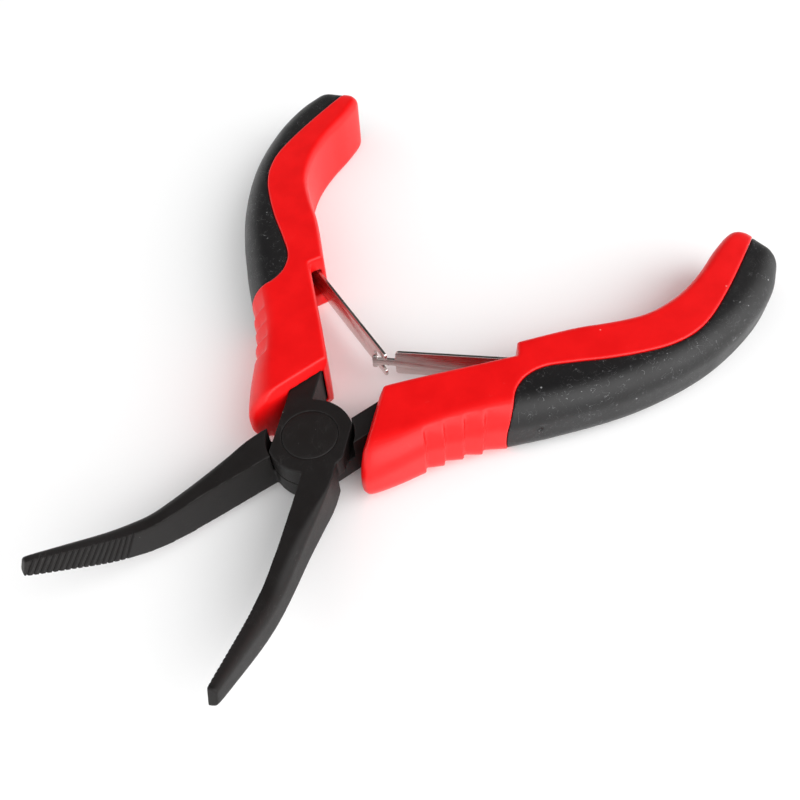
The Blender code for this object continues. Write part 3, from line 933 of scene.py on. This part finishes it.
def soft_rubber():
    """Dark grained rubber with polished high spots, worn patches and pale dust."""
    made, tree, shader, spot = new_finish("soft_overlay")
    skin = effect(tree, grain, spot, Grains_per_mm=5.5, Lumps_per_mm=0.16)
    motes = effect(tree, dust, spot, Specks_per_mm=0.9, Speck_Size=0.17, Speck_Share=0.30, Lint_Share=0.45)
    marks = effect(tree, scratches, spot, Length=9.0, Share=0.42)
    worn = effect(tree, rubbed, spot, Edge=edge_value(tree), Reach=0.4)
    speckle = math_node(tree, "MULTIPLY", skin["Speckle"], 0.6)
    colour = blended(tree, speckle, (0.0040, 0.0036, 0.0038), (0.0150, 0.0130, 0.0130))
    colour = blended(tree, math_node(tree, "MULTIPLY", skin["Patches"], 0.35), colour, (0.008, 0.008, 0.009))
    colour = blended(tree, math_node(tree, "MULTIPLY", worn["Mask"], 0.3), colour, (0.07, 0.07, 0.072))
    colour = blended(tree, math_node(tree, "MULTIPLY", marks["Mask"], 0.2), colour, (0.10, 0.10, 0.105))
    fluff = math_node(tree, "MAXIMUM", motes["Specks"], motes["Lint"])
    colour = blended(tree, math_node(tree, "MULTIPLY", fluff, 0.55), colour, (0.48, 0.48, 0.49))
    tree.links.new(colour, shader.inputs["Base Color"])
    tree.links.new(ranged(tree, skin["Patches"], 0.0, 1.0, 0.46, 0.38), shader.inputs["Roughness"])
    shader.inputs["Specular IOR Level"].default_value = 0.40
    bump = put(tree, "ShaderNodeBump", {"Strength": 0.6, "Distance": 0.00007, "Height": skin["Height"]})
    tree.links.new(bump.outputs[0], shader.inputs["Normal"])
    return made


overlay_black = soft_rubber()
left_overlay = grip_body(overlay_lowered)
joined(left_overlay, outside_of_line(0.03), "INTERSECT")
even_skin(left_overlay, overlay_voxel, 4)
ball = []
for step in range(17):
    angle = math.pi * step / 16
    ball.append((gate_ball * math.sin(angle), gate_ball * math.cos(angle)))
gate = turned("gate_mark", ball, 32)
gate.data.transform(Matrix.Translation(gate_spot))
joined(left_overlay, gate, "DIFFERENCE")
mark_edges(left_overlay, 2.4)
left_overlay.data.materials.clear()
left_overlay.data.materials.append(overlay_black)
left_overlay.data.shade_smooth()
right_overlay = left_overlay.copy()
right_overlay.data = left_overlay.data.copy()
bpy.context.scene.collection.objects.link(right_overlay)
for piece, name, side, body in (
    (left_overlay, "left_grip_overlay_moulding", 1, "upper_half"),
    (right_overlay, "right_grip_overlay_moulding", -1, "lower_half"),
):
    laid_down(piece, name, side)
    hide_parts(name.replace("_moulding", ""))
    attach(piece, body)

# ------------------------------------------------------------------------------------------------
# The leaf springs. Two blanked strips of bright rolled spring steel, pressed into the slots behind
# the steps. The left one ends in an open fork, the right one in a tongue whose head the fork holds.

leaf_thickness = 0.5
leaf_half_height = 2.9
leaf_tail = 0.6
leaf_shoulder = 23.5
neck_half = 0.8
neck_end = 26.75
head_half = 1.5
head_end = 27.6
fork_start = 23.2
fork_end = 27.0
fork_slot_half = 1.2


def bright_strip():
    """Rolled strip: lengthwise grain, warm blanked edges, faint smears."""
    made, tree, shader, spot = new_finish("spring_strip")
    drawn = put(tree, "ShaderNodeMapping", {"Vector": spot, "Scale": (0.15, 0.15, 9.0)})
    lines = noise(tree, drawn.outputs[0], 1.0, 3.0, 0.6)
    skin = effect(tree, grain, spot, Grains_per_mm=9.0, Lumps_per_mm=0.3)
    worn = effect(tree, rubbed, spot, Edge=edge_value(tree), Reach=0.6)
    colour = blended(tree, ranged(tree, lines, 0.3, 0.7), (0.60, 0.55, 0.53), (0.72, 0.68, 0.66))
    colour = blended(tree, math_node(tree, "MULTIPLY", skin["Patches"], 0.3), colour, (0.50, 0.45, 0.43))
    colour = blended(tree, math_node(tree, "MULTIPLY", worn["Mask"], 0.6), colour, (0.62, 0.52, 0.42))
    tree.links.new(colour, shader.inputs["Base Color"])
    tree.links.new(ranged(tree, lines, 0.25, 0.75, 0.20, 0.34), shader.inputs["Roughness"])
    shader.inputs["Metallic"].default_value = 1.0
    bump = put(tree, "ShaderNodeBump", {"Strength": 0.15, "Distance": 0.00001, "Height": lines})
    tree.links.new(bump.outputs[0], shader.inputs["Normal"])
    return made


strip_steel = bright_strip()


def eased_corners(outline, radii, steps=5):
    """Outline with each corner turned into a small arc of its own radius."""
    made = []
    count = len(outline)
    for index, spot in enumerate(outline):
        here = Vector(spot)
        before = Vector(outline[index - 1]) - here
        after = Vector(outline[(index + 1) % count]) - here
        reach = min(radii[index], 0.45 * before.length, 0.45 * after.length)
        start = here + before.normalized() * reach
        end = here + after.normalized() * reach
        for step in range(steps + 1):
            t = step / steps
            made.append(tuple(start * (1 - t) ** 2 + here * 2 * t * (1 - t) + end * t * t))
    return made


def leaf(name, side, upper, radii):
    """Leaf from the upper half of its outline in (distance, height), mirrored downwards."""
    outline = upper + [(distance, -height) for distance, height in reversed(upper)]
    outline = eased_corners(outline, radii + radii[::-1])
    half = leaf_thickness / 2.0
    rings = []
    for sideways in (-half, half):
        ring = []
        for distance, height in outline:
            x, y = leaf_spot(distance, sideways, leaf_rest_angle)
            ring.append((x, y, height))
        rings.append(ring)
    strip = skinned(name, rings)
    bevel = strip.modifiers.new("blanked_edge", "BEVEL")
    bevel.width = 0.07
    bevel.segments = 3
    bevel.limit_method = "ANGLE"
    bevel.angle_limit = math.radians(50.0)
    settled(strip)
    mark_edges(strip, 1.6)
    strip.data.materials.append(strip_steel)
    strip.data.shade_smooth()
    strip.data.set_sharp_from_angle(angle=math.radians(35.0))
    return laid_down(strip, name, side)


edge = leaf_half_height
fork = [(-leaf_tail, edge), (fork_end, edge), (fork_end, fork_slot_half + 0.15), (fork_start, fork_slot_half)]
left_strip = leaf("left_leaf_strip", 1, fork, [0.2, 0.8, 0.5, 1.0])
tongue = [
    (-leaf_tail, edge), (leaf_shoulder, edge), (leaf_shoulder, neck_half),
    (neck_end, neck_half), (neck_end, head_half), (head_end, head_half),
]
right_strip = leaf("right_leaf_strip", -1, tongue, [0.2, 0.8, 0.3, 0.15, 0.3, 0.55])
for piece, node, body in (
    (left_strip, "left_leaf_spring", "left_leaf"),
    (right_strip, "right_leaf_spring", "right_leaf"),
):
    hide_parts(node)
    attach(piece, body)

# ------------------------------------------------------------------------------------------------
# The table, the light and the camera. The tool lies on a plain white sheet under soft light from
# all round, with one large soft window from the right grip's side.

sheet_size = 4.0
tent_strength = 1.35
flag_strength = 0.05
flag_direction = (0.479, 0.340, 0.809)
flag_edge = 0.45
flag_middle = 0.90
sheet_mesh = bpy.data.meshes.new("sheet")
corners = [(x * sheet_size, y * sheet_size, 0.0) for x, y in ((-1, -1), (1, -1), (1, 1), (-1, 1))]
sheet_mesh.from_pydata(corners, [], [(0, 1, 2, 3)])
sheet = bpy.data.objects.new("sheet", sheet_mesh)
bpy.context.scene.collection.objects.link(sheet)
sheet_white = bpy.data.materials.new("sheet_white")
sheet_white.use_nodes = True
paper = sheet_white.node_tree.nodes["Principled BSDF"]
paper.inputs["Base Color"].default_value = (0.98, 0.98, 0.98, 1.0)
paper.inputs["Roughness"].default_value = 0.6
paper.inputs["Specular IOR Level"].default_value = 0.2
sheet_mesh.materials.append(sheet_white)

# The studio is a white tent. A dark flag high on the far side keeps glare off the flat tops
world = bpy.data.worlds.new("studio")
world.use_nodes = True
tent = world.node_tree
looking = put(tent, "ShaderNodeTexCoord")
towards_flag = put(
    tent, "ShaderNodeVectorMath",
    {0: looking.outputs["Generated"], 1: flag_direction}, operation="DOT_PRODUCT",
)
tent_light = ranged(tent, towards_flag.outputs["Value"], flag_edge, flag_middle, tent_strength, flag_strength)
tent.nodes["Background"].inputs["Color"].default_value = (1.0, 1.0, 1.0, 1.0)
tent.links.new(tent_light, tent.nodes["Background"].inputs["Strength"])
bpy.context.scene.world = world

window_spot = Vector((0.00, -0.80, 0.62))
window_light = bpy.data.lights.new("window", "AREA")
window_light.shape = "SQUARE"
window_light.size = 1.20
window_light.energy = 8.5
window = bpy.data.objects.new("window", window_light)
window.location = window_spot
towards_tool = pivot_point + Vector((0.02, 0.0, 0.0)) - window_spot
window.rotation_euler = towards_tool.to_track_quat("-Z", "Y").to_euler()
bpy.context.scene.collection.objects.link(window)

camera_heading = 54.593
camera_down = 54.036
camera_roll = -3.936
camera_spot = (-0.0691185, -0.0546503, 0.1196146)
lens_data = bpy.data.cameras.new("camera")
lens_data.sensor_width = 36.0
lens_data.lens = 37.23
lens_data.clip_start = 0.001
camera = bpy.data.objects.new("camera", lens_data)
aim = Euler((math.radians(90.0 - camera_down), 0.0, math.radians(-camera_heading)), "XYZ").to_matrix()
camera.rotation_mode = "QUATERNION"
camera.rotation_quaternion = (aim @ Matrix.Rotation(math.radians(camera_roll), 3, "Z")).to_quaternion()
camera.location = camera_spot
bpy.context.scene.collection.objects.link(camera)
bpy.context.scene.camera = camera
bpy.context.scene.view_settings.view_transform = "Standard"
